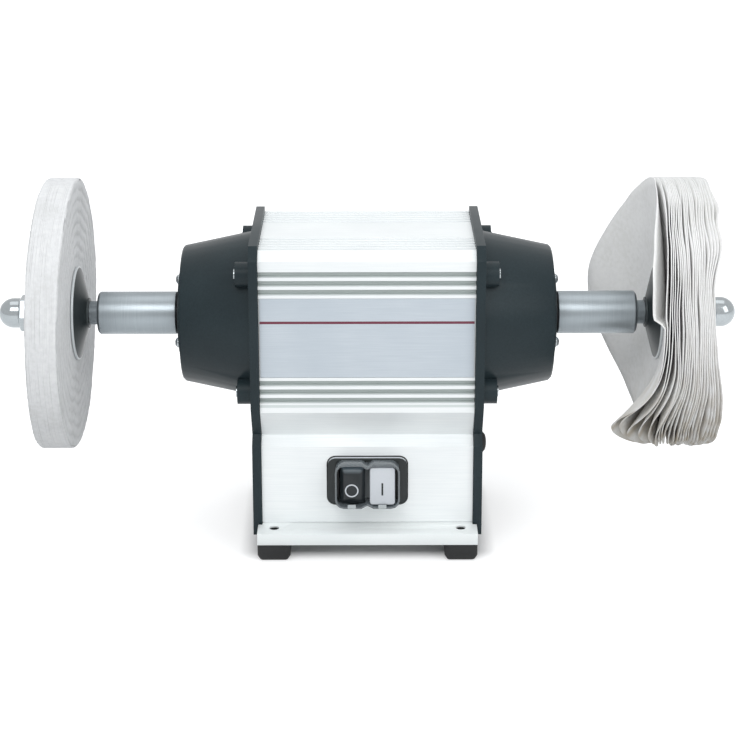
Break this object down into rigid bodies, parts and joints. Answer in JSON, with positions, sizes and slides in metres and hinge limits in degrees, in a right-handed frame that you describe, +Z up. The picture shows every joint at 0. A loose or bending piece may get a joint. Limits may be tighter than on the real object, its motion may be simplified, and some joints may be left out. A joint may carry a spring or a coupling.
{
  "type": "bench_polishing_machine",
  "caption": "Double-ended bench polishing motor: ribbed square housing, tapered end caps, long spindle with a cotton buff at each end, push-button switch, base tray and feet",
  "frame": {"origin": "on the bench below the middle of the spindle, at the centre of the part's footprint", "axes": "+X along the spindle to the operator's right, +Y away from the operator, +Z up"},
  "size_m": [0.6798, 0.2495, 0.3313],
  "materials": {
    "satin_profile": "satin silver anodised extrusion",
    "dark_castings": "dark anthracite hammer-smooth paint on castings",
    "foil_label": "bare blue-grey foil with a thin dark red line",
    "bright_fasteners": "bright nickel-chrome plating",
    "turned_steel": "fine-turned bare steel",
    "dark_flanges": "dark grey-green blued flanges with a bright rim",
    "buff_cloth": "off-white unbleached cotton",
    "white_sheet": "white powder coat on folded sheet",
    "black_rubber": "matt black rubber",
    "black_plastic": "black moulded plastic, slight sheen",
    "white_plastic": "white moulded plastic",
    "smoke_guard": "grey see-through plastic",
    "grey_plastic": "light grey moulded plastic",
    "laminations": "stacked steel sheets",
    "copper_winding": "varnished copper winding"
  },
  "bodies": {
    "machine": {"housing_profile": "satin_profile", "left_end_cap": "dark_castings", "right_end_cap": "dark_castings", "left_bearing_cover": "dark_castings", "right_bearing_cover": "dark_castings", "front_label": "foil_label", "left_cap_bolt_1": "bright_fasteners", "left_cap_bolt_2": "bright_fasteners", "left_cap_bolt_3": "bright_fasteners", "left_cap_bolt_4": "bright_fasteners", "right_cap_bolt_1": "bright_fasteners", "right_cap_bolt_2": "bright_fasteners", "right_cap_bolt_3": "bright_fasteners", "right_cap_bolt_4": "bright_fasteners", "left_cover_screw_1": "bright_fasteners", "left_cover_screw_2": "bright_fasteners", "left_cover_screw_3": "bright_fasteners", "right_cover_screw_1": "bright_fasteners", "right_cover_screw_2": "bright_fasteners", "right_cover_screw_3": "bright_fasteners", "left_bearing_outer_ring": "turned_steel", "right_bearing_outer_ring": "turned_steel", "left_preload_washer": "turned_steel", "capacitor_clamp": "turned_steel", "base_tray": "white_sheet", "side_plug": "black_rubber", "left_shaft_seal": "black_rubber", "right_shaft_seal": "black_rubber", "left_front_foot": "black_rubber", "left_back_foot": "black_rubber", "right_front_foot": "black_rubber", "right_back_foot": "black_rubber", "switch_bezel": "black_plastic", "cable_gland": "black_plastic", "capacitor": "white_plastic", "switch_guard": "smoke_guard", "switch_block": "grey_plastic", "terminal_block": "grey_plastic", "stator_core": "laminations", "left_winding_head": "copper_winding", "right_winding_head": "copper_winding"},
    "spindle": {"spindle_shaft": "turned_steel", "rotor_core": "laminations", "stitched_buff": "buff_cloth", "loose_buff": "buff_cloth", "left_bearing_inner_ring": "turned_steel", "left_shaft_extension": "turned_steel", "left_inner_flange": "dark_flanges", "left_outer_flange": "dark_flanges", "left_clamp_washer": "turned_steel", "left_cap_nut": "bright_fasteners", "right_bearing_inner_ring": "turned_steel", "right_shaft_extension": "turned_steel", "right_inner_flange": "dark_flanges", "right_outer_flange": "dark_flanges", "right_clamp_washer": "turned_steel", "right_cap_nut": "bright_fasteners"},
    "stop_button": {"stop_button": "black_plastic"},
    "start_button": {"start_button": "white_plastic"}
  },
  "joints": [
    {"name": "spindle_spin", "type": "hinge", "parent": "machine", "child": "spindle", "pos_m": [0, 0, 0.2063], "axis": [1, 0, 0], "continuous": true},
    {"name": "stop_press", "type": "slide", "parent": "machine", "child": "stop_button", "axis": [0, 0.9994, -0.0343], "range_m": [0, 0.003], "stiffness_N_per_m": 500},
    {"name": "start_press", "type": "slide", "parent": "machine", "child": "start_button", "axis": [0, 0.9994, -0.0343], "range_m": [0, 0.003], "stiffness_N_per_m": 500}
  ]
}
